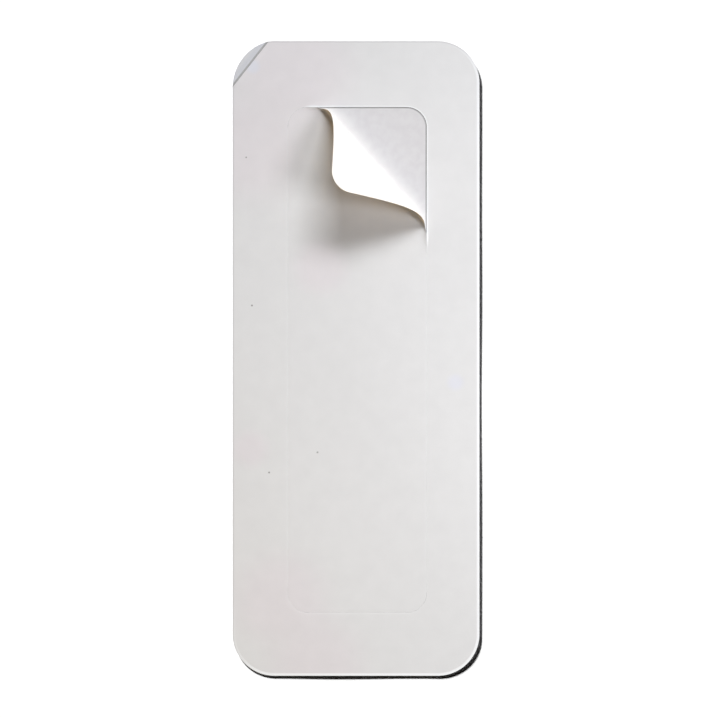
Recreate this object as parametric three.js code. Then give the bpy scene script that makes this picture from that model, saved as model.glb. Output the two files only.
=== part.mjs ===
import * as THREE from 'three';

// A long transparent film dressing as it comes out of its sachet, laid on its liner.
// The film is bonded between a release liner below and a paper carrier above. A window is
// kiss cut through the carrier alone, and one corner of the window's paper is peeled back.
// Millimetres. The origin is the centre of the liner's flat underside. +X runs across the
// strip, +Y along it toward the peeled end, and +Z up out of the paper.

// Outline of the whole strip
const dressingWidth = 98;
const dressingLength = 252;
const dressingCornerRadius = 16.6;

// Thickness of each sheet, from the bottom up
const linerThickness = 0.15;
const filmThickness = 0.05;
const carrierThickness = 0.2;

// Width of the paper frame on each side of the window, and the window's cut
const frameRight = 20.9;
const frameLeft = 21.9;
const framePeeledEnd = 26.2;
const frameFarEnd = 25;
const windowCornerRadius = 8;
const knifeCut = 0.1;

// Grip corner: film and carrier are cut off at a slant, and the liner's corner is bent up
const gripAcross = 14.1;
const gripDown = 17.9;
const gripSetback = 0.3;
const gripLift = THREE.MathUtils.degToRad(35);
const gripCrease = 0.4;

// Peeled corner: where its fold meets the window's end and side, and how the paper curls.
// At curlDecay from the fold the paper has made 63% of its whole turn.
const peelAlongEnd = 43.9;
const peelAlongSide = 50.3;
const curlTurn = THREE.MathUtils.degToRad(151);
const curlDecay = 5.8;

// Fineness of the round corners and of the bends
const cornerSegments = 12;
const facetTurn = THREE.MathUtils.degToRad(6);

const right = dressingWidth / 2;
const left = -right;
const end = dressingLength / 2;

const windowRight = right - frameRight;
const windowEnd = end - framePeeledEnd;
const windowWidth = dressingWidth - frameLeft - frameRight;
const windowLength = dressingLength - framePeeledEnd - frameFarEnd;

const filmBase = linerThickness;
const carrierBase = filmBase + filmThickness;

// Rectangle with round corners, as points that run counter-clockwise
function roundedRectangle(highX, highY, width, length, radius) {
  const centres = [
    [highX - radius, highY - length + radius],
    [highX - radius, highY - radius],
    [highX - width + radius, highY - radius],
    [highX - width + radius, highY - length + radius],
  ];
  return centres.flatMap(([x, y], corner) => {
    const from = (corner - 1) * Math.PI / 2;
    const arc = new THREE.ArcCurve(x, y, radius, from, from + Math.PI / 2, false);
    return arc.getPoints(cornerSegments);
  });
}

// Straight line between two points. A distance from it is positive on the line's left.
function straightLine(startX, startY, endX, endY) {
  const start = new THREE.Vector2(startX, startY);
  const along = new THREE.Vector2(endX, endY).sub(start).normalize();
  const across = new THREE.Vector2(-along.y, along.x);
  const distance = (point) => point.clone().sub(start).dot(across);
  return { across, distance };
}

// The outline with a point added wherever it crosses a line parallel to the given one
function withCrossings(outline, line, distances) {
  return outline.flatMap((start, index) => {
    const finish = outline[(index + 1) % outline.length];
    const from = line.distance(start);
    const span = line.distance(finish) - from;
    const crossings = distances
      .map((distance) => (distance - from) / span)
      .filter((share) => share > 0 && share < 1)
      .sort((a, b) => a - b)
      .map((share) => start.clone().lerp(finish, share));
    return [start, ...crossings];
  });
}

// What is left of the outline once all beyond a distance from the line is cut off
function trimmed(outline, line, distance) {
  return withCrossings(outline, line, [distance])
    .filter((point) => line.distance(point) < distance + 1e-6);
}

function flatSheet(outline, thickness, holes = []) {
  const shape = new THREE.Shape(outline);
  holes.forEach((hole) => shape.holes.push(new THREE.Path(hole)));
  return new THREE.ExtrudeGeometry(shape, { depth: thickness, bevelEnabled: false });
}

// Section through a sheet that leaves its flat part at the fold and turns up, quickly at
// first and then ever less: turn * (1 - exp(-distance / decay)). Each facet turns by
// facetTurn, so facets grow longer away from the fold. The last one ends at the reach.
function bendProfile(turn, decay, reach) {
  const angleAt = (distance) => turn * (1 - Math.exp(-distance / decay));
  const profile = [{ distance: 0, angle: 0, forward: 0, up: 0 }];
  for (let angle = facetTurn; ; angle += facetTurn) {
    const last = profile[profile.length - 1];
    const unlimited = angle < turn ? -decay * Math.log(1 - angle / turn) : reach;
    const distance = Math.min(unlimited, reach);
    const length = distance - last.distance;
    const lean = angleAt(last.distance + length / 2);
    profile.push({
      distance,
      angle: angleAt(distance),
      forward: last.forward + length * Math.cos(lean),
      up: last.up + length * Math.sin(lean),
    });
    if (distance === reach) {
      return profile;
    }
  }
}

// Convex sheet that lies flat up to the fold and is bent up beyond it. Its lines parallel
// to the fold stay straight, as in any bent paper, so each strip between two of them is
// one flat facet.
function bentSheet(outline, fold, turn, decay, thickness) {
  const reach = Math.max(...outline.map(fold.distance));
  const profile = bendProfile(turn, decay, reach);
  const steps = profile.map((station) => station.distance);
  const loop = withCrossings(outline, fold, steps);
  const distances = loop.map(fold.distance);

  const sectionAt = (distance) => {
    const next = Math.max(1, profile.findIndex((station) => station.distance >= distance));
    const a = profile[next - 1];
    const b = profile[next];
    const share = (distance - a.distance) / (b.distance - a.distance);
    const mix = (key) => THREE.MathUtils.lerp(a[key], b[key], share);
    return { forward: mix('forward'), up: mix('up'), angle: mix('angle') };
  };
  const placed = (height) => loop.map((point, index) => {
    const distance = distances[index];
    if (distance <= 0) {
      return [point.x, point.y, height];
    }
    const { forward, up, angle } = sectionAt(Math.min(distance, reach));
    const shift = forward - height * Math.sin(angle) - distance;
    const { x, y } = point.clone().addScaledVector(fold.across, shift);
    return [x, y, up + height * Math.cos(angle)];
  });

  const upper = (index) => index + loop.length;
  const faces = [];
  [-Infinity, ...steps.slice(0, -1)].forEach((low, strip) => {
    const high = steps[strip] + 1e-6;
    const inside = loop.map((_, index) => index)
      .filter((index) => distances[index] > low - 1e-6 && distances[index] < high);
    for (let i = 1; i < inside.length - 1; i += 1) {
      const [a, b, c] = [inside[0], inside[i], inside[i + 1]];
      faces.push(a, c, b, upper(a), upper(b), upper(c));
    }
  });
  loop.forEach((_, index) => {
    const next = (index + 1) % loop.length;
    faces.push(index, next, upper(next), index, upper(next), upper(index));
  });

  const geometry = new THREE.BufferGeometry();
  const positions = [...placed(0), ...placed(thickness)].flat();
  geometry.setAttribute('position', new THREE.Float32BufferAttribute(positions, 3));
  geometry.setIndex(faces);
  geometry.computeVertexNormals();
  return geometry;
}

const outline = roundedRectangle(
  right, end, dressingWidth, dressingLength, dressingCornerRadius,
);
const windowHole = roundedRectangle(
  windowRight, windowEnd, windowWidth, windowLength, windowCornerRadius,
);
const panelOutline = roundedRectangle(
  windowRight - knifeCut, windowEnd - knifeCut,
  windowWidth - 2 * knifeCut, windowLength - 2 * knifeCut, windowCornerRadius - knifeCut,
);

const gripFold = straightLine(left, end - gripDown, left + gripAcross, end);
const peelFold = straightLine(
  windowRight - peelAlongEnd, windowEnd, windowRight, windowEnd - peelAlongSide,
);

const slantCut = trimmed(outline, gripFold, -gripSetback);

// Silicone-coated release liner under everything, with its bent-up grip corner
function releaseLiner() {
  return new THREE.Mesh(
    bentSheet(outline, gripFold, gripLift, gripCrease, linerThickness),
    new THREE.MeshStandardMaterial({ color: 0xd6d7dc, roughness: 0.5, side: THREE.DoubleSide }),
  );
}

// Clear polyurethane film with its adhesive, face to face with the liner
function film() {
  const mesh = new THREE.Mesh(
    flatSheet(slantCut, filmThickness),
    new THREE.MeshStandardMaterial({
      color: 0xe4e4e4, roughness: 0.35, transparent: true, opacity: 0.35,
    }),
  );
  mesh.position.z = filmBase;
  return mesh;
}

// Paper frame that keeps the film flat while the dressing is applied
function carrierFrame() {
  const mesh = new THREE.Mesh(
    flatSheet(slantCut, carrierThickness, [windowHole]),
    new THREE.MeshStandardMaterial({ color: 0xdddbdb, roughness: 0.8 }),
  );
  mesh.position.z = carrierBase;
  return mesh;
}

// Paper that closes the window, with its far right corner peeled up and curled over
function windowPanel() {
  const mesh = new THREE.Mesh(
    bentSheet(panelOutline, peelFold, curlTurn, curlDecay, carrierThickness),
    new THREE.MeshStandardMaterial({ color: 0xe6e5e5, roughness: 0.8 }),
  );
  mesh.position.z = carrierBase;
  return mesh;
}

const dressing = new THREE.Group();
const pieces = {
  release_liner: releaseLiner(),
  film: film(),
  carrier_frame: carrierFrame(),
  window_panel: windowPanel(),
};
Object.entries(pieces).forEach(([name, mesh]) => {
  mesh.name = name;
  dressing.add(mesh);
});

export default dressing;
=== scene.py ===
"""A long transparent film dressing on its release liner, with its window paper peeled open.

Four sheets lie on each other: the liner, the film, the paper frame and the window's paper.
Each is a thin solid worked out on a grid, in the same places as the CAD nodes that it
replaces. All lengths are in metres.
"""

import bpy
import numpy as np
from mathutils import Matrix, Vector

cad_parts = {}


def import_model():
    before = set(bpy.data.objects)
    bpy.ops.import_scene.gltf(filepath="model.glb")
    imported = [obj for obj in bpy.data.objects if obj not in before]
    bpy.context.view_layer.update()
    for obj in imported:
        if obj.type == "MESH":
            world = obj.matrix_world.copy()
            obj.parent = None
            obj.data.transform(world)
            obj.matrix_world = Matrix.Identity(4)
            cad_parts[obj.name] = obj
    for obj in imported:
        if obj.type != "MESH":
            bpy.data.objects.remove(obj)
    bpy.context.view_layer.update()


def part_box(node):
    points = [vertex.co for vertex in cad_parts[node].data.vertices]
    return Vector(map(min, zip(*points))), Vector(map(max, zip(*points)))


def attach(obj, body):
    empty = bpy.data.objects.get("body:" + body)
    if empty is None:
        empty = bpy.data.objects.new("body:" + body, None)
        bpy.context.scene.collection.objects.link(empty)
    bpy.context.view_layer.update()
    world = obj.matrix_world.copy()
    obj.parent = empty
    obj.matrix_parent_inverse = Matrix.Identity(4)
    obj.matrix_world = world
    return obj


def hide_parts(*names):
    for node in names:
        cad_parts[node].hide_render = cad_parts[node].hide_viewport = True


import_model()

MM = 0.001

# Places of the sheets, from the frame
LINER_LOW, LINER_HIGH = (np.array(corner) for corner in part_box("release_liner"))
PANEL_LOW, PANEL_HIGH = (np.array(corner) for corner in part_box("window_panel"))
FILM_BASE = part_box("film")[0].z
PAPER_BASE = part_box("carrier_frame")[0].z
PAPER_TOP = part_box("carrier_frame")[1].z

# Outline of the strip and of the window that is cut through its paper
STRIP_RADIUS = 16.6 * MM
WINDOW_RADIUS = 8 * MM
KNIFE_CUT = 0.1 * MM
WINDOW_LOW = PANEL_LOW[:2] - KNIFE_CUT
WINDOW_HIGH = PANEL_HIGH[:2] + KNIFE_CUT
# The knife's cut has closed again, so less of it shows than the solids keep open
SEEN_CUT = 0.008 * MM

# Grip corner of the liner, bent up past the slanted end of film and paper
GRIP_ACROSS = 14.1 * MM
GRIP_DOWN = 17.9 * MM
GRIP_SETBACK = 0.3 * MM
GRIP_LIFT = np.radians(35)
GRIP_CREASE = 0.4 * MM

# Peeled corner of the window's paper: its fold meets the window's end and side at these
# distances, and at CURL_DECAY past the fold the paper has made 63% of its whole turn
PEEL_ALONG_END = 43.9 * MM
PEEL_ALONG_SIDE = 50.3 * MM
CURL_TURN = np.radians(151)
CURL_DECAY = 5.8 * MM
# Height of its loose edges at both ends of the fold, and the distance over which it dies out
EDGE_LIFT = 0.8 * MM
EDGE_LIFT_REACH = 1.4 * MM

# Waves that damp air leaves in the sheets: height, direction, length and phase of each
COCKLE_WAVES = [
    (0.050 * MM, (0.9, 0.4), 62 * MM, 0.6),
    (0.045 * MM, (0.3, -0.95), 88 * MM, 2.1),
    (0.020 * MM, (0.8, -0.6), 41 * MM, 4.0),
]
RIGHT_CURL = 0.2 * MM

# The knife presses the paper down along its cut, and the rubber beside the blade leaves a
# low ridge on either side
CUT_DEPTH = 0.02 * MM
CUT_WIDTH = 0.3 * MM
RIDGE_HEIGHT = 0.008 * MM
RIDGE_PLACE = 1.3 * MM
RIDGE_WIDTH = 0.35 * MM
# Share of the white on the cut's edges, partly clean fibres and partly painted highlight,
# that shows where it is still closed
CLOSED_CUT_SHOWS = 0.12

# Share of the light that the paper lets through where it stands free of the film
LIGHT_THROUGH_PAPER = 0.22

# Air left between film and liner, so that no two seen faces share a place
AIR = 0.01 * MM


def linear(colour):
    """Turns an sRGB hex colour into the linear RGBA that the shaders take."""
    srgb = np.array([int(colour[i:i + 2], 16) for i in (1, 3, 5)]) / 255
    value = np.where(srgb <= 0.04045, srgb / 12.92, ((srgb + 0.055) / 1.055) ** 2.4)
    return (*value, 1.0)


def cockle(x, y):
    """Height of a sheet's faint waves: the sum of sine waves that cross at different
    angles, each lifted by its own height so that none dips, and a curl of the right side
    that grows with the fourth power of the distance from the middle."""
    waves = sum(
        height * (1 + np.sin(2 * np.pi * (x * to_right + y * to_end) / length + phase))
        for height, (to_right, to_end), length, phase in COCKLE_WAVES
    )
    return waves + RIGHT_CURL * np.clip(x / LINER_HIGH[0], 0, 1) ** 4


def inside_distance(x, y, low, high, radius):
    """Distance in from the outline of a rectangle with round corners: the radius less the
    distance from the smaller rectangle of the arcs' centres, negative outside."""
    centre, half = (low + high) / 2, (high - low) / 2
    over_x = np.abs(x - centre[0]) - half[0] + radius
    over_y = np.abs(y - centre[1]) - half[1] + radius
    outside = np.hypot(np.maximum(over_x, 0), np.maximum(over_y, 0))
    return radius - outside - np.minimum(np.maximum(over_x, over_y), 0)


def round_rectangle(low, high, radius, arc_steps, side_steps):
    """Points and outward directions round a rectangle with round corners, counter-clockwise.
    Each corner is a quarter circle about its centre, and each side runs straight between
    two of them."""
    centres = np.array([
        (high[0] - radius, low[1] + radius),
        (high[0] - radius, high[1] - radius),
        (low[0] + radius, high[1] - radius),
        (low[0] + radius, low[1] + radius),
    ])
    turn = (np.arange(4)[:, None] - 1) * np.pi / 2 + np.linspace(0, np.pi / 2, arc_steps + 1)
    arc_out = np.stack([np.cos(turn), np.sin(turn)], axis=-1)
    arcs = centres[:, None] + radius * arc_out
    start, finish = arcs[:, -1], np.roll(arcs[:, 0], -1, axis=0)
    share = np.linspace(0, 1, side_steps + 1)[1:-1, None]
    sides = start[:, None] + (finish - start)[:, None] * share
    side_out = np.repeat(arc_out[:, -1:], side_steps - 1, axis=1)
    points = np.concatenate([arcs, sides], axis=1).reshape(-1, 2)
    outward = np.concatenate([arc_out, side_out], axis=1).reshape(-1, 2)
    return points, outward


def strip_outline(arc_steps, side_steps):
    """Points and outward directions round the whole strip."""
    return round_rectangle(LINER_LOW[:2], LINER_HIGH[:2], STRIP_RADIUS, arc_steps, side_steps)


def fold_line(start, finish):
    """A fold from start to finish: its first point, its direction, and the direction at
    right angles to it in which the sheet is bent up, on its left."""
    start, finish = np.array(start), np.array(finish)
    along = (finish - start) / np.linalg.norm(finish - start)
    return start, along, np.array([-along[1], along[0]])


GRIP_FOLD = fold_line(
    (LINER_LOW[0], LINER_HIGH[1] - GRIP_DOWN), (LINER_LOW[0] + GRIP_ACROSS, LINER_HIGH[1]),
)
PEEL_FOLD = fold_line(
    (WINDOW_HIGH[0] - PEEL_ALONG_END, WINDOW_HIGH[1]),
    (WINDOW_HIGH[0], WINDOW_HIGH[1] - PEEL_ALONG_SIDE),
)


def distance_past(fold, points):
    """Distance of flat points past a fold, negative before it."""
    start, _, across = fold
    return (points - start) @ across


def bend(distance, turn, decay):
    """Section of a sheet bent up past a fold: its direction at a distance s past the fold
    is turn * (1 - exp(-s / decay)), and the way forward and up are the running sums of
    that direction's cosine and sine."""
    past = np.linspace(0, max(distance.max(), decay), 4001)
    angle = turn * (1 - np.exp(-past / decay))
    middle = (angle[1:] + angle[:-1]) / 2
    step = past[1]
    forward = np.concatenate([[0], np.cumsum(np.cos(middle)) * step])
    up = np.concatenate([[0], np.cumsum(np.sin(middle)) * step])
    bent = np.maximum(distance, 0)
    return (
        np.where(distance > 0, np.interp(bent, past, forward), distance),
        np.interp(bent, past, up),
        np.interp(bent, past, angle),
    )


def ruling_ends(outline, fold, distance):
    """Places along the fold's direction where lines parallel to it, at the given distances,
    cross a convex outline. The outline's two sides run from its point furthest behind the
    fold to the one furthest past it, so each is a function of the distance."""
    start, along, _ = fold
    s, q = distance_past(fold, outline), (outline - start) @ along
    first = np.argmin(s)
    s, q = np.roll(s, -first), np.roll(q, -first)
    last = np.argmax(s)
    high = np.interp(distance, s[:last + 1], q[:last + 1])
    other_s, other_q = np.append(s[0], s[:last - 1:-1]), np.append(q[0], q[:last - 1:-1])
    low = np.interp(distance, other_s, other_q)
    return low, high


def closed_volume(points, quads):
    """Volume inside quads that close a surface: each is two triangles, and each triangle
    a, b, c closes a sixth of a . (b x c) with the origin."""
    a, b, c, d = (points[quads[:, corner]] for corner in range(4))
    return (np.cross(a, b) * c + np.cross(a, c) * d).sum() / 6


def mesh_piece(name, points, quads, caps, slots, materials, marks):
    """A smooth-shaded object from points, quads and end caps, with sharp edges where faces
    meet at more than 35 degrees. Faces are turned round if the volume they close is
    negative. marks are named values at the points, which the materials read."""
    mesh = bpy.data.meshes.new(name)
    faces = quads.tolist() + caps
    turned = faces if closed_volume(points, quads) > 0 else [face[::-1] for face in faces]
    mesh.from_pydata(points.tolist(), [], turned)
    mesh.polygons.foreach_set("material_index", slots)
    for mark, values in marks.items():
        mesh.attributes.new(mark, "FLOAT", "POINT").data.foreach_set("value", values.ravel())
    mesh.shade_smooth()
    mesh.set_sharp_from_angle(angle=np.radians(35))
    for material in materials:
        mesh.materials.append(material)
    mesh.validate()
    piece = bpy.data.objects.new(name, mesh)
    bpy.context.collection.objects.link(piece)
    return piece


def grid_faces(rows, columns, closed_rows):
    """Quads of a grid whose columns close on themselves, and whose rows may too."""
    row = np.arange(rows if closed_rows else rows - 1)[:, None]
    column = np.arange(columns)[None]
    next_row, next_column = (row + 1) % rows, (column + 1) % columns
    quads = np.stack([
        row * columns + column,
        next_row * columns + column,
        next_row * columns + next_column,
        row * columns + next_column,
    ], axis=-1)
    return quads.reshape(-1, 4)


# Distances in from a cut edge of the columns that shape it, in a sheet's section
EDGE_INSETS = np.array([0, 0.02, 0.08, 0.16, 0.28, 0.45, 0.7, 0.95, 1.25, 1.8]) * MM
# Places of the columns over the middle of a section, as shares of it, in a sheet with a
# fold and in the frame
FOLDED_MIDDLE = np.linspace(0, 1, 34)[1:-1]
FRAME_MIDDLE = np.linspace(0, 1, 16)[1:-1]
# A line parallel to a fold meets most edges at a slant, so insets along it are longer, and
# on a short line they shrink with it
SLANT = 1.45
SHORT_LINE = 8 * MM
# Distance before a fold from which a sheet's lines run closer
CLOSE_LINES = 3 * MM
# Share of a sheet's thickness by which each of its cut edges is chamfered
EDGE_CHAMFER = 0.2


def section_heights(columns, thickness):
    """Heights round a sheet's section, across its upper face and back along its lower one."""
    upper, lower = np.full(columns, thickness), np.zeros(columns)
    upper[[0, -1]] -= EDGE_CHAMFER * thickness
    lower[[0, -1]] += EDGE_CHAMFER * thickness
    return np.concatenate([upper, lower])


def flat_face(x, y, s, lower=False):
    """The change of a face's height where there is none."""
    return np.zeros(x.shape)


def no_marks(x, y, s):
    """The marks of a sheet that has none."""
    return {}


def ruled_sheet(
    name, outline, fold, distances, turn, decay, base, thickness, materials,
    surface=flat_face, marks=no_marks,
):
    """A convex sheet made of straight lines parallel to its fold. Each line's section is a
    closed loop: across the upper face, round one cut edge, back along the lower face and
    round the other edge. surface gives the change of a face's height and marks its marks,
    from the place x, y and the distance s past the fold."""
    start, along, across = fold
    low, high = ruling_ends(outline, fold, distances)
    length = high - low
    near = EDGE_INSETS * (SLANT * np.minimum(1, length / SHORT_LINE))[:, None]
    far = length[:, None] - near[:, ::-1]
    middle = near[:, -1:] + (far[:, :1] - near[:, -1:]) * FOLDED_MIDDLE
    upper_q = low[:, None] + np.concatenate([near, middle, far], axis=1)
    q = np.concatenate([upper_q, upper_q[:, ::-1]], axis=1)
    s = np.repeat(distances[:, None], q.shape[1], axis=1)
    flat = start + q[..., None] * along + s[..., None] * across
    x, y = flat[..., 0], flat[..., 1]
    is_upper = np.arange(q.shape[1]) < upper_q.shape[1]
    change = np.where(is_upper, surface(x, y, s), surface(x, y, s, lower=True))
    h = section_heights(upper_q.shape[1], thickness) + cockle(x, y) + change
    forward, up, angle = bend(s, turn, decay)
    plan = start + q[..., None] * along + (forward - h * np.sin(angle))[..., None] * across
    points = np.concatenate([plan, (base + up + h * np.cos(angle))[..., None]], axis=-1)

    rows, columns = s.shape
    quads = grid_faces(rows, columns, closed_rows=False)
    last_row = range((rows - 1) * columns, rows * columns)
    caps = [list(range(columns)), list(reversed(last_row))]
    slots = np.append(np.tile(~is_upper, (rows - 1, 1)).ravel().astype(int), [0, 0])
    return mesh_piece(
        name, points.reshape(-1, 3), quads, caps, slots, materials, marks(x, y, s),
    )


def framed_sheet(name, inner, outer, base, thickness, surface, materials, marks):
    """A flat sheet between two outlines that match point by point. Each section runs on the
    straight line between two matching points and is a closed loop: across the upper face
    from the inner edge to the outer one, and back along the lower face."""
    (inner_points, inner_out), (outer_points, outer_out) = inner, outer
    section = outer_points - inner_points
    length = np.linalg.norm(section, axis=1, keepdims=True)
    direction = section / length
    lean_in = (direction * inner_out).sum(axis=1, keepdims=True)
    lean_out = (direction * outer_out).sum(axis=1, keepdims=True)
    near = EDGE_INSETS / lean_in
    far = length - EDGE_INSETS[::-1] / lean_out
    middle = near[:, -1:] + (far[:, :1] - near[:, -1:]) * FRAME_MIDDLE
    along = np.concatenate([near, middle, far], axis=1)
    upper = inner_points[:, None] + direction[:, None] * along[..., None]
    plan = np.concatenate([upper, upper[:, ::-1]], axis=1)
    x, y = plan[..., 0], plan[..., 1]
    is_upper = np.arange(plan.shape[1]) < upper.shape[1]
    change = np.where(is_upper, surface(x, y), 0)
    h = section_heights(upper.shape[1], thickness) + cockle(x, y) + change
    points = np.concatenate([plan, (base + h)[..., None]], axis=-1)
    rows, columns = x.shape
    quads = grid_faces(rows, columns, closed_rows=True)
    slots = np.tile(~is_upper, (rows, 1)).ravel().astype(int)
    return mesh_piece(
        name, points.reshape(-1, 3), quads, [], slots, materials, marks(x, y),
    )


def node(tree, kind, sockets=(), **properties):
    """Adds a node, sets its properties, and fills its sockets with values or links."""
    made = tree.nodes.new(kind)
    for key, value in properties.items():
        setattr(made, key, value)
    for key, value in dict(sockets).items():
        if isinstance(value, bpy.types.NodeSocket):
            tree.links.new(value, made.inputs[key])
        else:
            made.inputs[key].default_value = value
    return made


def new_material(name):
    """A material with an empty node tree, its output node and its Object coordinates."""
    material = bpy.data.materials.new(name)
    material.use_nodes = True
    tree = material.node_tree
    tree.nodes.clear()
    out = node(tree, "ShaderNodeOutputMaterial")
    place = node(tree, "ShaderNodeTexCoord").outputs["Object"]
    return material, tree, out, place


def colour_mix(tree, factor, a, b):
    """Colour a turned toward colour b by a factor."""
    return node(tree, "ShaderNodeMix", {0: factor, 6: a, 7: b}, data_type="RGBA").outputs[2]


def near_spot(tree, place, centre, radius):
    """1 about a place on the paper, from 0.3 of a radius falling to 0 at the radius."""
    distance = node(
        tree, "ShaderNodeVectorMath", {0: place, 1: (*centre, PAPER_TOP)}, operation="DISTANCE",
    )
    return node(
        tree, "ShaderNodeMapRange",
        {0: distance.outputs["Value"], 1: 0.3 * radius, 2: radius, 3: 1.0, 4: 0.0},
        interpolation_type="SMOOTHSTEP",
    ).outputs[0]


def past_fold(tree, place, fold, near, far):
    """1 up to a distance past a fold, falling to 0 at a further one."""
    start, _, across = fold
    from_start = node(
        tree, "ShaderNodeVectorMath", {0: place, 1: (*start, 0)}, operation="SUBTRACT",
    ).outputs[0]
    distance = node(
        tree, "ShaderNodeVectorMath", {0: from_start, 1: (*across, 0)}, operation="DOT_PRODUCT",
    ).outputs["Value"]
    return node(
        tree, "ShaderNodeMapRange", {0: distance, 1: near, 2: far, 3: 1.0, 4: 0.0},
        interpolation_type="SMOOTHSTEP",
    ).outputs[0]


def noise(tree, place, size, detail, low, high):
    """Cloudy noise whose clouds have a size in metres, from 0 below low to 1 above high."""
    clouds = node(tree, "ShaderNodeTexNoise", {
        "Vector": place, "Scale": 1 / size, "Detail": detail,
    })
    return node(
        tree, "ShaderNodeMapRange", {0: clouds.outputs[0], 1: low, 2: high, 3: 0.0, 4: 1.0},
    ).outputs[0]


def relief(tree, height, strength, depth):
    """The shading normal over a pattern of a depth in metres."""
    return node(tree, "ShaderNodeBump", {
        "Height": height, "Strength": strength, "Distance": depth,
    }).outputs[0]


def seen_through(tree, place, surface):
    """Lets a share of the light through where the paper stands free of the film, warmer
    than it came. Object coordinates give the height, over which the share rises."""
    height = node(tree, "ShaderNodeSeparateXYZ", {0: place}).outputs["Z"]
    free_from, free_to = PAPER_TOP + 0.6 * MM, PAPER_TOP + 2 * MM
    share = node(
        tree, "ShaderNodeMapRange",
        {0: height, 1: free_from, 2: free_to, 3: 0.0, 4: LIGHT_THROUGH_PAPER},
        interpolation_type="SMOOTHSTEP",
    ).outputs[0]
    warm = node(tree, "ShaderNodeBsdfTranslucent", {"Color": linear("#ffe6b4")})
    return node(tree, "ShaderNodeMixShader", {0: share, 1: surface.outputs[0], 2: warm.outputs[0]})


# Where the carrier paper has a faint pink cast, a bluish one and a dark speck, with radius
PINK_CASTS = [
    ((-26 * MM, 114 * MM), 34 * MM),
    ((-42 * MM, 84 * MM), 30 * MM),
    ((-30 * MM, -96 * MM), 26 * MM),
    ((-16 * MM, -121 * MM), 26 * MM),
    ((-42 * MM, -36 * MM), 10 * MM),
    ((-14 * MM, 36 * MM), 15 * MM),
]
BLUE_CASTS = [
    ((39.5 * MM, -9.5 * MM), 4.5 * MM),
    ((-41 * MM, 116 * MM), 4 * MM),
]
SPECKS = [
    ((-41.3 * MM, 21.0 * MM), 0.5 * MM),
    ((-34.5 * MM, -45.3 * MM), 0.5 * MM),
    ((-15.3 * MM, -37.3 * MM), 0.45 * MM),
    ((-43.6 * MM, 79.8 * MM), 0.45 * MM),
]


def carrier_paper_material():
    """Machine-finished bleached paper. The eye sees a dead matt, off-white sheet with cloudy
    formation, faint casts where it has picked up colour, a few dark specks in the pulp, and
    along its cut edges a white rim, partly clean fibres and partly painted highlight, or a
    fine grey line of painted shade."""
    material, tree, out, place = new_material("machine_finished_paper")
    colour = linear("#e7e5e4")
    for spots, cast in ((PINK_CASTS, "#e8e2e3"), (BLUE_CASTS, "#e5e4ea")):
        for centre, radius in spots:
            colour = colour_mix(tree, near_spot(tree, place, centre, radius), colour, linear(cast))
    # Formation: the fibres lie in clouds of a few millimetres
    shade = node(
        tree, "ShaderNodeMapRange",
        {0: noise(tree, place, 7 * MM, 4.0, 0.3, 0.7), 3: 0.982, 4: 1.012},
    ).outputs[0]
    colour = node(
        tree, "ShaderNodeVectorMath", {0: colour, "Scale": shade}, operation="SCALE",
    ).outputs[0]
    for centre, radius in SPECKS:
        colour = colour_mix(tree, near_spot(tree, place, centre, radius), colour, linear("#8e8a86"))
    # Along the cut edges: white, partly clean fibres and partly painted highlight, and a fine grey
    # line of painted shade
    for mark, shown in (("white_edge", "#fefefe"), ("grey_edge", "#c4c2c2")):
        share = node(tree, "ShaderNodeAttribute", attribute_name=mark).outputs["Fac"]
        colour = colour_mix(tree, share, colour, linear(shown))
    # Fibres: a grain of 0.7 mm, drawn coarser than the real 0.03 mm so that it shows
    fibres = noise(tree, place, 0.7 * MM, 2.0, 0.0, 1.0)
    surface = node(tree, "ShaderNodeBsdfPrincipled", {
        "Base Color": colour, "Roughness": 0.82, "IOR": 1.5, "Specular IOR Level": 0.3,
        "Normal": relief(tree, fibres, 0.25, 0.03 * MM),
    })
    tree.links.new(seen_through(tree, place, surface).outputs[0], out.inputs[0])
    return material


def white_back_material():
    """The paper's release-coated back. The eye sees a brighter, even white with a soft sheen
    and hardly any grain."""
    material, tree, out, place = new_material("coated_paper_back")
    shade = noise(tree, place, 8 * MM, 2.0, 0.3, 0.7)
    surface = node(tree, "ShaderNodeBsdfPrincipled", {
        "Base Color": colour_mix(tree, shade, linear("#f9f9f9"), linear("#fcfcfc")),
        "Roughness": 0.6, "IOR": 1.5, "Specular IOR Level": 0.3,
        "Normal": relief(tree, noise(tree, place, 0.9 * MM, 2.0, 0.0, 1.0), 0.2, 0.01 * MM),
    })
    tree.links.new(seen_through(tree, place, surface).outputs[0], out.inputs[0])
    return material


def past_cut(tree, place):
    """Distance out past the window's cut, negative inside it: the distance from the smaller
    rectangle of its arcs' centres, less their radius."""
    centre, half = (WINDOW_LOW + WINDOW_HIGH) / 2, (WINDOW_HIGH - WINDOW_LOW) / 2 - WINDOW_RADIUS
    from_centre = node(
        tree, "ShaderNodeVectorMath", {0: place, 1: (*centre, 0)}, operation="SUBTRACT",
    ).outputs[0]
    folded = node(tree, "ShaderNodeVectorMath", {0: from_centre}, operation="ABSOLUTE").outputs[0]
    over = node(
        tree, "ShaderNodeVectorMath", {0: folded, 1: (*half, 1)}, operation="SUBTRACT",
    ).outputs[0]
    beyond = node(
        tree, "ShaderNodeVectorMath", {0: over, 1: (0, 0, 0)}, operation="MAXIMUM",
    ).outputs[0]
    length = node(tree, "ShaderNodeVectorMath", {0: beyond}, operation="LENGTH").outputs["Value"]
    return node(
        tree, "ShaderNodeMath", {0: length, 1: WINDOW_RADIUS}, operation="SUBTRACT",
    ).outputs[0]


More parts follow.
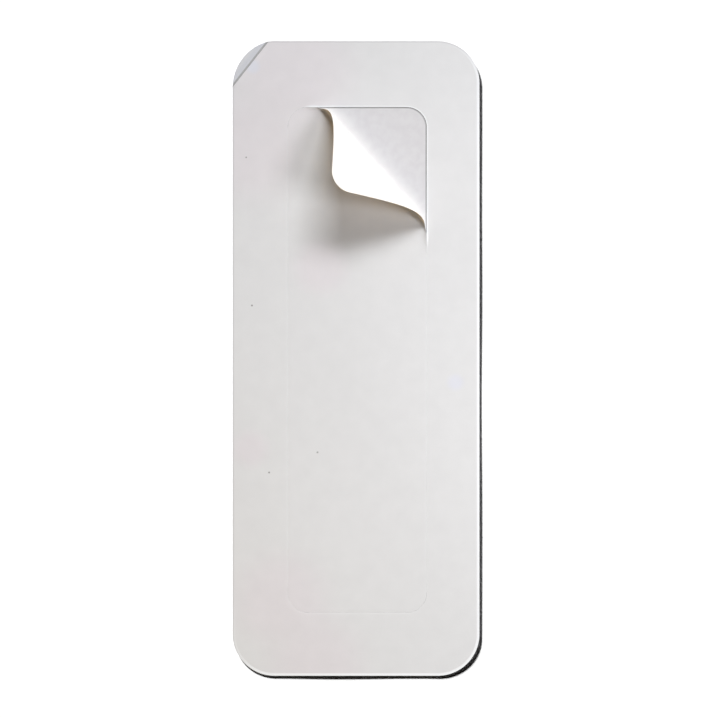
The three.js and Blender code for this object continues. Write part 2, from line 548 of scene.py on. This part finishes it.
def film_material():
    """Cast polyurethane film with its adhesive. The eye sees a colourless, slightly hazy
    skin with a satin gloss, and through it the liner. Next to the fold it is milky white and
    less clear, which dies out over some millimetres.
    Along the window's cut a thin grey line is painted on it, as the shadow that the paper's
    cut edge throws."""
    material, tree, out, place = new_material("cast_polyurethane_film")
    next_to_fold = past_fold(tree, place, PEEL_FOLD, -3 * MM, 9 * MM)
    haze = noise(tree, place, 3 * MM, 3.0, 0.35, 0.65)
    hazy = colour_mix(tree, haze, linear("#ece8e9"), linear("#f1eeee"))
    # Painted shadow: a thin grey line along the window's cut, where the paper's edge shades the
    # film
    painted_step_shadow = node(
        tree, "ShaderNodeMapRange",
        {0: past_cut(tree, place), 1: -0.75 * MM, 2: -0.25 * MM, 3: 0.0, 4: 1.0},
    ).outputs[0]
    whitened = colour_mix(tree, next_to_fold, hazy, linear("#fdfbf7"))
    surface = node(tree, "ShaderNodeBsdfPrincipled", {
        "Base Color": colour_mix(tree, painted_step_shadow, whitened, linear("#b5b3b3")),
        "Roughness": 0.4, "IOR": 1.5, "Specular IOR Level": 0.5,
        "Alpha": node(tree, "ShaderNodeMapRange", {0: next_to_fold, 3: 0.72, 4: 0.97}).outputs[0],
        "Normal": relief(tree, noise(tree, place, 1.4 * MM, 2.0, 0.0, 1.0), 0.25, 0.02 * MM),
    })
    tree.links.new(surface.outputs[0], out.inputs[0])
    return material


def liner_material(name, dense, thin):
    """Supercalendered glassine. The eye sees a smooth, dense paper with a satin sheen: an
    even bluish grey up to just past the crease of the grip corner, a darker grey line of
    painted shade along that crease, and further out, where the corner has been handled,
    faint clouds between two colours."""
    material, tree, out, place = new_material(name)
    clouds = noise(tree, place, 5 * MM, 2.0, 0.3, 0.7)
    handled = colour_mix(tree, clouds, linear(dense), linear(thin))
    untouched = past_fold(tree, place, GRIP_FOLD, 1.6 * MM, 3.2 * MM)
    colour = colour_mix(tree, untouched, handled, linear("#dfe0e5"))
    # Painted shade: a darker grey line along the grip corner's crease
    to_past_crease = past_fold(tree, place, GRIP_FOLD, 0.25 * MM, 0.75 * MM)
    to_before_crease = past_fold(tree, place, GRIP_FOLD, -0.8 * MM, -0.5 * MM)
    painted_crease_shade = node(
        tree, "ShaderNodeMath", {0: to_past_crease, 1: to_before_crease}, operation="SUBTRACT",
    ).outputs[0]
    surface = node(tree, "ShaderNodeBsdfPrincipled", {
        "Base Color": colour_mix(tree, painted_crease_shade, colour, linear("#acabaa")),
        "Roughness": 0.45, "IOR": 1.5, "Specular IOR Level": 0.4,
        "Normal": relief(tree, noise(tree, place, 1.0 * MM, 2.0, 0.0, 1.0), 0.15, 0.01 * MM),
    })
    tree.links.new(surface.outputs[0], out.inputs[0])
    return material


def stations(outline, fold, last, coarse, fine):
    """Distances of a sheet's lines from its fold: coarse steps over the flat part, fine ones
    just before the fold and past it, and closing steps at a round end."""
    first = distance_past(fold, outline).min()
    closing = np.array([0.01, 0.05, 0.15, 0.35, 0.7, 1.2]) * MM
    flat = np.arange(first + 1.8 * MM, -CLOSE_LINES, coarse)
    fold_side = np.arange(-CLOSE_LINES, min(last, 0), 4 * fine)
    bent = np.arange(0, last - 1.3 * MM, fine) if last > 0 else np.empty(0)
    ending = last - closing[::-1] if last > 0 else np.array([last])
    return np.concatenate([first + closing, flat, fold_side, bent, ending])


def window_cut(x, y):
    """The paper's height by its distance from the window's cut: pressed down by an
    exponential, and a bell curve for the ridge beside it."""
    gap = np.abs(inside_distance(x, y, WINDOW_LOW, WINDOW_HIGH, WINDOW_RADIUS))
    ridge = RIDGE_HEIGHT * np.exp(-(((gap - RIDGE_PLACE) / RIDGE_WIDTH) ** 2))
    return ridge - CUT_DEPTH * np.exp(-gap / CUT_WIDTH)


def fades(value, full, gone):
    """1 up to full, falling smoothly to 0 at gone."""
    share = np.clip((value - full) / (gone - full), 0, 1)
    return 1 - share * share * (3 - 2 * share)


def release_liner():
    """The liner under everything, silicone coated on top and uncoated below."""
    outline, _ = strip_outline(400, 40)
    last = distance_past(GRIP_FOLD, outline).max()
    coated = liner_material("silicone_coated_glassine", "#e2e2e4", "#e8e8e9")
    uncoated = liner_material("uncoated_glassine_back", "#b4b8c2", "#bbbfc9")
    return ruled_sheet(
        "release_liner_sheet", outline, GRIP_FOLD,
        stations(outline, GRIP_FOLD, last, 2 * MM, 0.1 * MM),
        GRIP_LIFT, GRIP_CREASE, LINER_LOW[2], FILM_BASE - LINER_LOW[2] - AIR,
        [coated, uncoated],
    )


def film():
    """The film on the liner. It ends at its slanted cut, before the liner's fold."""
    outline, _ = strip_outline(400, 40)
    clear = film_material()
    return ruled_sheet(
        "film_sheet", outline, GRIP_FOLD,
        stations(outline, GRIP_FOLD, -GRIP_SETBACK, 2 * MM, 0.2 * MM),
        GRIP_LIFT, GRIP_CREASE, FILM_BASE, PAPER_BASE - FILM_BASE, [clear, clear],
    )


def past_loose_edge(distance):
    """1 where the cut's edges stand apart, from just before the fold, and 0 where it is
    still closed."""
    return 1 - fades(distance, -3.5 * MM, -1 * MM)


def carrier_frame(paper):
    """The paper round the window. A white rim is painted along its right and lower outer edge
    as a highlight. Along its inner edge the white is partly clean fibres from the knife and
    partly painted highlight. Its left and upper outer edges have a fine grey line of painted
    shade."""
    inner = round_rectangle(WINDOW_LOW, WINDOW_HIGH, WINDOW_RADIUS, 96, 120)
    points, outward = strip_outline(96, 120)
    # Beyond the slanted cut, each outer point moves back to it along its own section
    _, _, across = GRIP_FOLD
    over = distance_past(GRIP_FOLD, points) + GRIP_SETBACK
    section = points - inner[0]
    shortened = points - section * (over / (section @ across))[:, None]
    cut_off = over[:, None] > 0
    outer = np.where(cut_off, shortened, points), np.where(cut_off, across, outward)

    def marks(x, y):
        to_side = inside_distance(x, y, LINER_LOW[:2], LINER_HIGH[:2], STRIP_RADIUS)
        # Positive on the lower right side of the diagonal from lower left to upper right
        lower_right = x / LINER_HIGH[0] - y / LINER_HIGH[1]
        lower_right_side = 1 - fades(lower_right, -0.3, 0.3)
        # Painted highlight: a white rim along the right and lower outer edges
        painted_rim_highlight = fades(to_side, 0.8 * MM, 1.2 * MM) * lower_right_side
        to_cut = np.abs(inside_distance(x, y, WINDOW_LOW, WINDOW_HIGH, WINDOW_RADIUS))
        laid_open = past_loose_edge(distance_past(PEEL_FOLD, np.stack([x, y], axis=-1)))
        shown = CLOSED_CUT_SHOWS + (1 - CLOSED_CUT_SHOWS) * laid_open
        # White along the window's cut: partly clean fibres, partly painted highlight
        cut_fibres_and_highlight = shown * fades(to_cut, 0.2 * MM, 0.65 * MM)
        return {
            "white_edge": np.maximum(painted_rim_highlight, cut_fibres_and_highlight),
            # Painted shade: a fine grey line along the left and upper outer edges
            "grey_edge": 0.5 * fades(to_side, 0.25 * MM, 0.8 * MM) * (1 - lower_right_side),
        }

    return framed_sheet(
        "carrier_frame_sheet", inner, outer, PAPER_BASE, PAPER_TOP - PAPER_BASE, window_cut,
        [paper, paper], marks,
    )


def window_panel(paper, underside):
    """The window's paper. Near both ends of the fold its edges have come loose a little
    before the fold. They stand up by a height that dies out exponentially inwards, and as a
    bell curve along them."""
    low, high = WINDOW_LOW + SEEN_CUT, WINDOW_HIGH - SEEN_CUT
    radius = WINDOW_RADIUS - SEEN_CUT
    outline, _ = round_rectangle(low, high, radius, 400, 60)
    last = distance_past(PEEL_FOLD, outline).max()

    def surface(x, y, s, lower=False):
        inside = inside_distance(x, y, low, high, radius)
        lift = EDGE_LIFT * np.exp(-np.maximum(inside, 0) / EDGE_LIFT_REACH)
        lift = lift * np.exp(-(((s - 0.5 * MM) / (2 * EDGE_LIFT_REACH)) ** 2))
        return lift if lower else lift + window_cut(x, y)

    def marks(x, y, s):
        inside = inside_distance(x, y, low, high, radius)
        # White along the closed cut, partly clean fibres and partly painted highlight, and a
        # painted highlight on the loose edges that stand up
        cut_fibres_and_highlight = CLOSED_CUT_SHOWS * fades(inside, 0.1 * MM, 0.5 * MM)
        loose_edge_highlight = past_loose_edge(s) * fades(inside, 0.3 * MM, 0.7 * MM)
        return {"white_edge": np.maximum(cut_fibres_and_highlight, loose_edge_highlight)}

    return ruled_sheet(
        "window_panel_sheet", outline, PEEL_FOLD,
        stations(outline, PEEL_FOLD, last, 1.5 * MM, 0.2 * MM),
        CURL_TURN, CURL_DECAY, PAPER_BASE, PAPER_TOP - PAPER_BASE, [paper, underside],
        surface, marks,
    )


carrier_paper = carrier_paper_material()

sheets = [
    (release_liner(), "release_liner", "liner_paper"),
    (film(), "film", "polyurethane_film"),
    (carrier_frame(carrier_paper), "carrier_frame", "carrier_paper"),
    (window_panel(carrier_paper, white_back_material()), "window_panel", "window_paper"),
]
for piece, cad_node, slot in sheets:
    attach(piece, "root")
    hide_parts(cad_node)


# Photograph's frame: 718 pixels square, 0.397 mm a pixel on the strip, whose centre is at
# (356.0, 358.4) from the upper left
IMAGE_SIZE = 718
PIXEL = 0.397 * MM
STRIP_AT = np.array([356.0, 358.4])
LENS = 200
SENSOR = 36


def camera():
    """Looks straight down from the height at which the lens gives the photograph's scale."""
    data = bpy.data.cameras.new("camera")
    data.lens = LENS
    data.sensor_width = SENSOR
    eye = bpy.data.objects.new("camera", data)
    x, y = (IMAGE_SIZE / 2 - STRIP_AT) * (PIXEL, -PIXEL)
    eye.location = (x, y, PAPER_TOP + IMAGE_SIZE * PIXEL * LENS / SENSOR)
    bpy.context.collection.objects.link(eye)
    bpy.context.scene.camera = eye


def linked(lamp, receivers, blockers):
    """Lets a lamp light only some objects, and lets only some cast its shadows."""
    for purpose, objects in (("receiver", receivers), ("blocker", blockers)):
        group = bpy.data.collections.new(f"{lamp.name}_{purpose}s")
        for piece in objects:
            group.objects.link(piece)
        setattr(lamp.light_linking, f"{purpose}_collection", group)


def hung_lamp(name, data, distance, azimuth, elevation):
    """Hangs a lamp at a distance from the middle of the strip and aims it there. Its azimuth
    is measured counter-clockwise from the right."""
    lamp = bpy.data.objects.new(name, data)
    a, e = np.radians(azimuth), np.radians(elevation)
    toward = Vector((np.cos(e) * np.cos(a), np.cos(e) * np.sin(a), np.sin(e)))
    lamp.location = distance * toward
    lamp.rotation_euler = toward.to_track_quat("Z", "Y").to_euler()
    bpy.context.collection.objects.link(lamp)
    return lamp


def area_lamp(name, size, distance, azimuth, elevation, level, colour):
    """A rectangular soft box. Its power gives the level at the strip: at 1, a surface that
    faces a small one shows its colour as it is written."""
    data = bpy.data.lights.new(name, "AREA")
    data.shape = "RECTANGLE"
    data.size, data.size_y = size
    data.energy = level * np.pi ** 2 * distance ** 2
    data.color = linear(colour)[:3]
    return hung_lamp(name, data, distance, azimuth, elevation)


def floor_lamp(azimuth, elevation, level):
    """A low sun that lights the floor alone, so that the strip's thickness throws a thin
    dark shadow on it. At level 1 the floor shows its colour as it is written."""
    data = bpy.data.lights.new("floor_lamp", "SUN")
    data.angle = np.radians(7)
    data.energy = level * np.pi / np.sin(np.radians(elevation))
    return hung_lamp("floor_lamp", data, 1.0, azimuth, elevation)


def floor():
    """White card that keeps the object's shadow."""
    material, tree, out, place = new_material("white_card")
    grain = colour_mix(
        tree, noise(tree, place, 30 * MM, 1.0, 0.3, 0.7), linear("#fbfbfb"), linear("#fdfdfd"),
    )
    surface = node(tree, "ShaderNodeBsdfDiffuse", {"Color": grain})
    tree.links.new(surface.outputs[0], out.inputs[0])
    mesh = bpy.data.meshes.new("floor")
    half, level = 4.0, -0.02 * MM
    corners = [(-half, -half), (half, -half), (half, half), (-half, half)]
    mesh.from_pydata([(x, y, level) for x, y in corners], [], [(0, 1, 2, 3)])
    mesh.materials.append(material)
    plane = bpy.data.objects.new("floor", mesh)
    bpy.context.collection.objects.link(plane)
    return plane


def world(level, colour):
    """Even light from all round, seen as white by camera, glossy and transmission rays."""
    made = bpy.data.worlds.new("studio")
    bpy.context.scene.world = made
    made.use_nodes = True
    tree = made.node_tree
    tree.nodes.clear()
    path = node(tree, "ShaderNodeLightPath").outputs
    seen = path["Is Camera Ray"]
    for kind in ("Is Glossy Ray", "Is Transmission Ray"):
        seen = node(
            tree, "ShaderNodeMath", {0: seen, 1: path[kind]}, operation="MAXIMUM",
        ).outputs[0]
    light = tuple(level * part for part in linear(colour)[:3]) + (1,)
    shown = colour_mix(tree, seen, light, (1, 1, 1, 1))
    background = node(tree, "ShaderNodeBackground", {"Color": shown, "Strength": 1.0})
    out = node(tree, "ShaderNodeOutputWorld")
    tree.links.new(background.outputs[0], out.inputs[0])


camera()
world(0.006, "#fff6ea")
card = floor()
pieces = [piece for piece, _, _ in sheets]
# Soft boxes, with size, distance, azimuth, elevation, level and colour: a wide one from the
# far end, two near ones from the right, and a weak warm one from the lower left that fills
# the curl's shadow
for lamp in (
    area_lamp("key", (5.0, 1.4), 7.0, 75, 35, 1.11, "#f7fbff"),
    area_lamp("side", (0.16, 0.1), 0.36, 7, 45, 0.45, "#fafbff"),
    area_lamp("low_side", (0.1, 0.05), 0.28, 340, 24, 0.07, "#fafbff"),
    area_lamp("fill", (0.14, 0.14), 0.36, 225, 42, 0.11, "#ffe4ae"),
):
    linked(lamp, pieces, pieces)
# The floor's own lamp is at the upper left, and only the liner, the film and the frame shade
# it, so that a dark line runs along the strip's right and lower edges
liner_film_and_frame = pieces[:3]
linked(floor_lamp(119, 17, 1.1), [card], liner_film_and_frame)
bpy.context.scene.view_settings.view_transform = "Standard"
